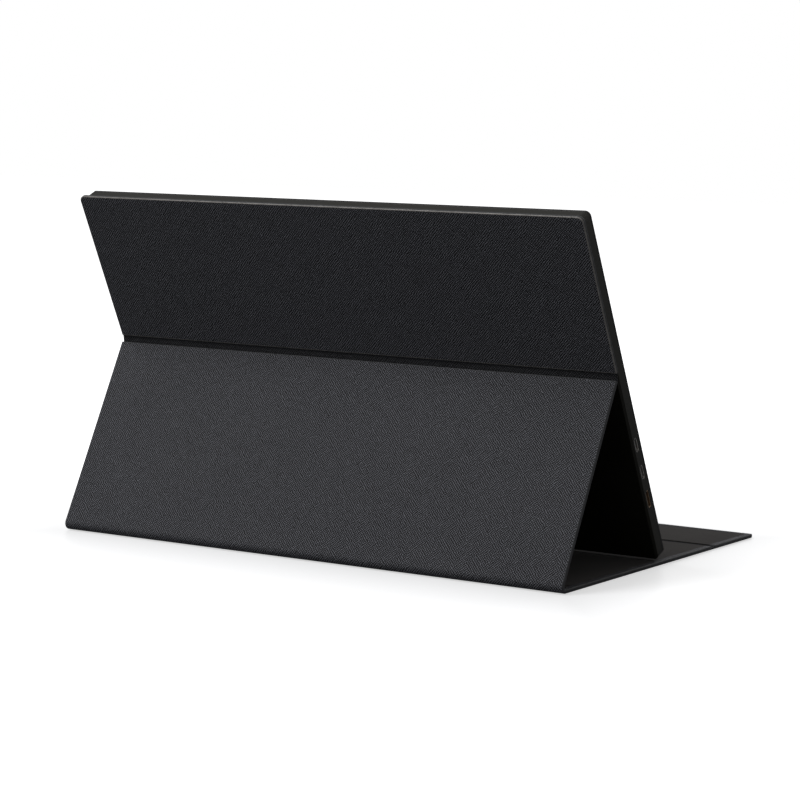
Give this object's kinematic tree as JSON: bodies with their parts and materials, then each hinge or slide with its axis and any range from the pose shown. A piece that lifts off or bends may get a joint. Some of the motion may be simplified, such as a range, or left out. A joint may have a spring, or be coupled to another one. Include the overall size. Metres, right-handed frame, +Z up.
{
  "type": "portable monitor with folding cover",
  "caption": "Slim portable monitor held by magnets in a dark folding cover that is creased into a stand, with side sockets, buttons and a front flap.",
  "frame": {"origin": "on the floor, in the middle of the rectangle that the whole part covers", "axes": "+X along the width, +Y from the front flap back to the foot of the stand, +Z up"},
  "size_m": [0.36, 0.2308, 0.2102],
  "materials": {
    "pebbled_leather": "embossed, satin",
    "brushed_lining": "brushed microfibre",
    "stiffening_board": "raw",
    "magnet_nickel": "nickel plated",
    "casing_plastic": "satin moulded",
    "bezel_plastic": "matte moulded",
    "screen_glass": "anti-glare polarizer",
    "white_frame": "white moulded",
    "clear_guide": "clear acrylic",
    "sheet_metal": "stamped",
    "socket_metal": "plated",
    "led_yellow": "phosphor",
    "circuit_board": "solder mask",
    "chip_plastic": "moulded",
    "ribbon_film": "polyimide film",
    "switch_metal": "plated"
  },
  "bodies": {
    "base": {"base_skin": "pebbled_leather", "base_lining": "brushed_lining", "spine_board": "stiffening_board", "rear_floor_board": "stiffening_board", "middle_floor_board": "stiffening_board", "foot_bend": "pebbled_leather", "front_crease": "pebbled_leather"},
    "leg": {"leg_skin": "pebbled_leather", "leg_board": "stiffening_board", "leg_lining": "brushed_lining", "middle_crease": "pebbled_leather"},
    "display": {"upper_skin": "pebbled_leather", "upper_board": "stiffening_board", "upper_lining": "brushed_lining", "holding_magnets": "magnet_nickel", "rear_casing": "casing_plastic", "front_bezel": "bezel_plastic", "lcd_cell": "screen_glass", "panel_frame": "white_frame", "diffuser_sheets": "white_frame", "light_guide": "clear_guide", "reflector_sheet": "white_frame", "led_bar": "led_yellow", "backlight_tray": "sheet_metal", "driver_board": "circuit_board", "display_ribbon": "ribbon_film", "main_board": "circuit_board", "board_chips": "chip_plastic", "usb_c_socket_upper": "socket_metal", "usb_c_socket_lower": "socket_metal", "mini_picture_socket": "socket_metal", "headphone_socket": "chip_plastic", "button_board": "circuit_board", "button_switches": "switch_metal", "button_ribbon": "ribbon_film", "speaker_left": "chip_plastic", "speaker_right": "chip_plastic", "body_magnets": "magnet_nickel", "board_screws": "sheet_metal"},
    "flap": {"flap_skin": "pebbled_leather", "flap_board": "stiffening_board", "flap_lining": "brushed_lining", "closing_magnets": "magnet_nickel"},
    "power_button": {"power_button": "casing_plastic"},
    "menu_rocker": {"menu_rocker": "casing_plastic"}
  },
  "joints": [
    {"name": "leg_fold", "type": "hinge", "parent": "base", "child": "leg", "pos_m": [0, 0.1114, 0.004], "axis": [1, 0, 0], "range_deg": [0, 18.6], "deforming": ["foot_bend"]},
    {"name": "screen_tilt", "type": "hinge", "parent": "leg", "child": "display", "pos_m": [0, 0.05697, 0.11556], "axis": [-1, 0, 0], "range_deg": [0, 37.5], "deforming": ["middle_crease"]},
    {"name": "flap_fold", "type": "hinge", "parent": "base", "child": "flap", "pos_m": [0, -0.0627, 0.0012], "axis": [-1, 0, 0], "range_deg": [0, 40], "deforming": ["front_crease"]},
    {"name": "power_press", "type": "slide", "parent": "display", "child": "power_button", "axis": [-1, 0, 0], "range_m": [0, 0.0004], "stiffness_N_per_m": 1000, "springref_m": -0.0004},
    {"name": "rocker_tilt", "type": "hinge", "parent": "display", "child": "menu_rocker", "pos_m": [0.1759, 0.02463, 0.05801], "axis": [0, -0.9092, 0.4163], "range_deg": [-2.5, 2.5], "stiffness_Nm_per_rad": 0.05}
  ],
  "couplings": [
    {"joint": "screen_tilt", "follows": "leg_fold", "ratio": 2.011}
  ]
}
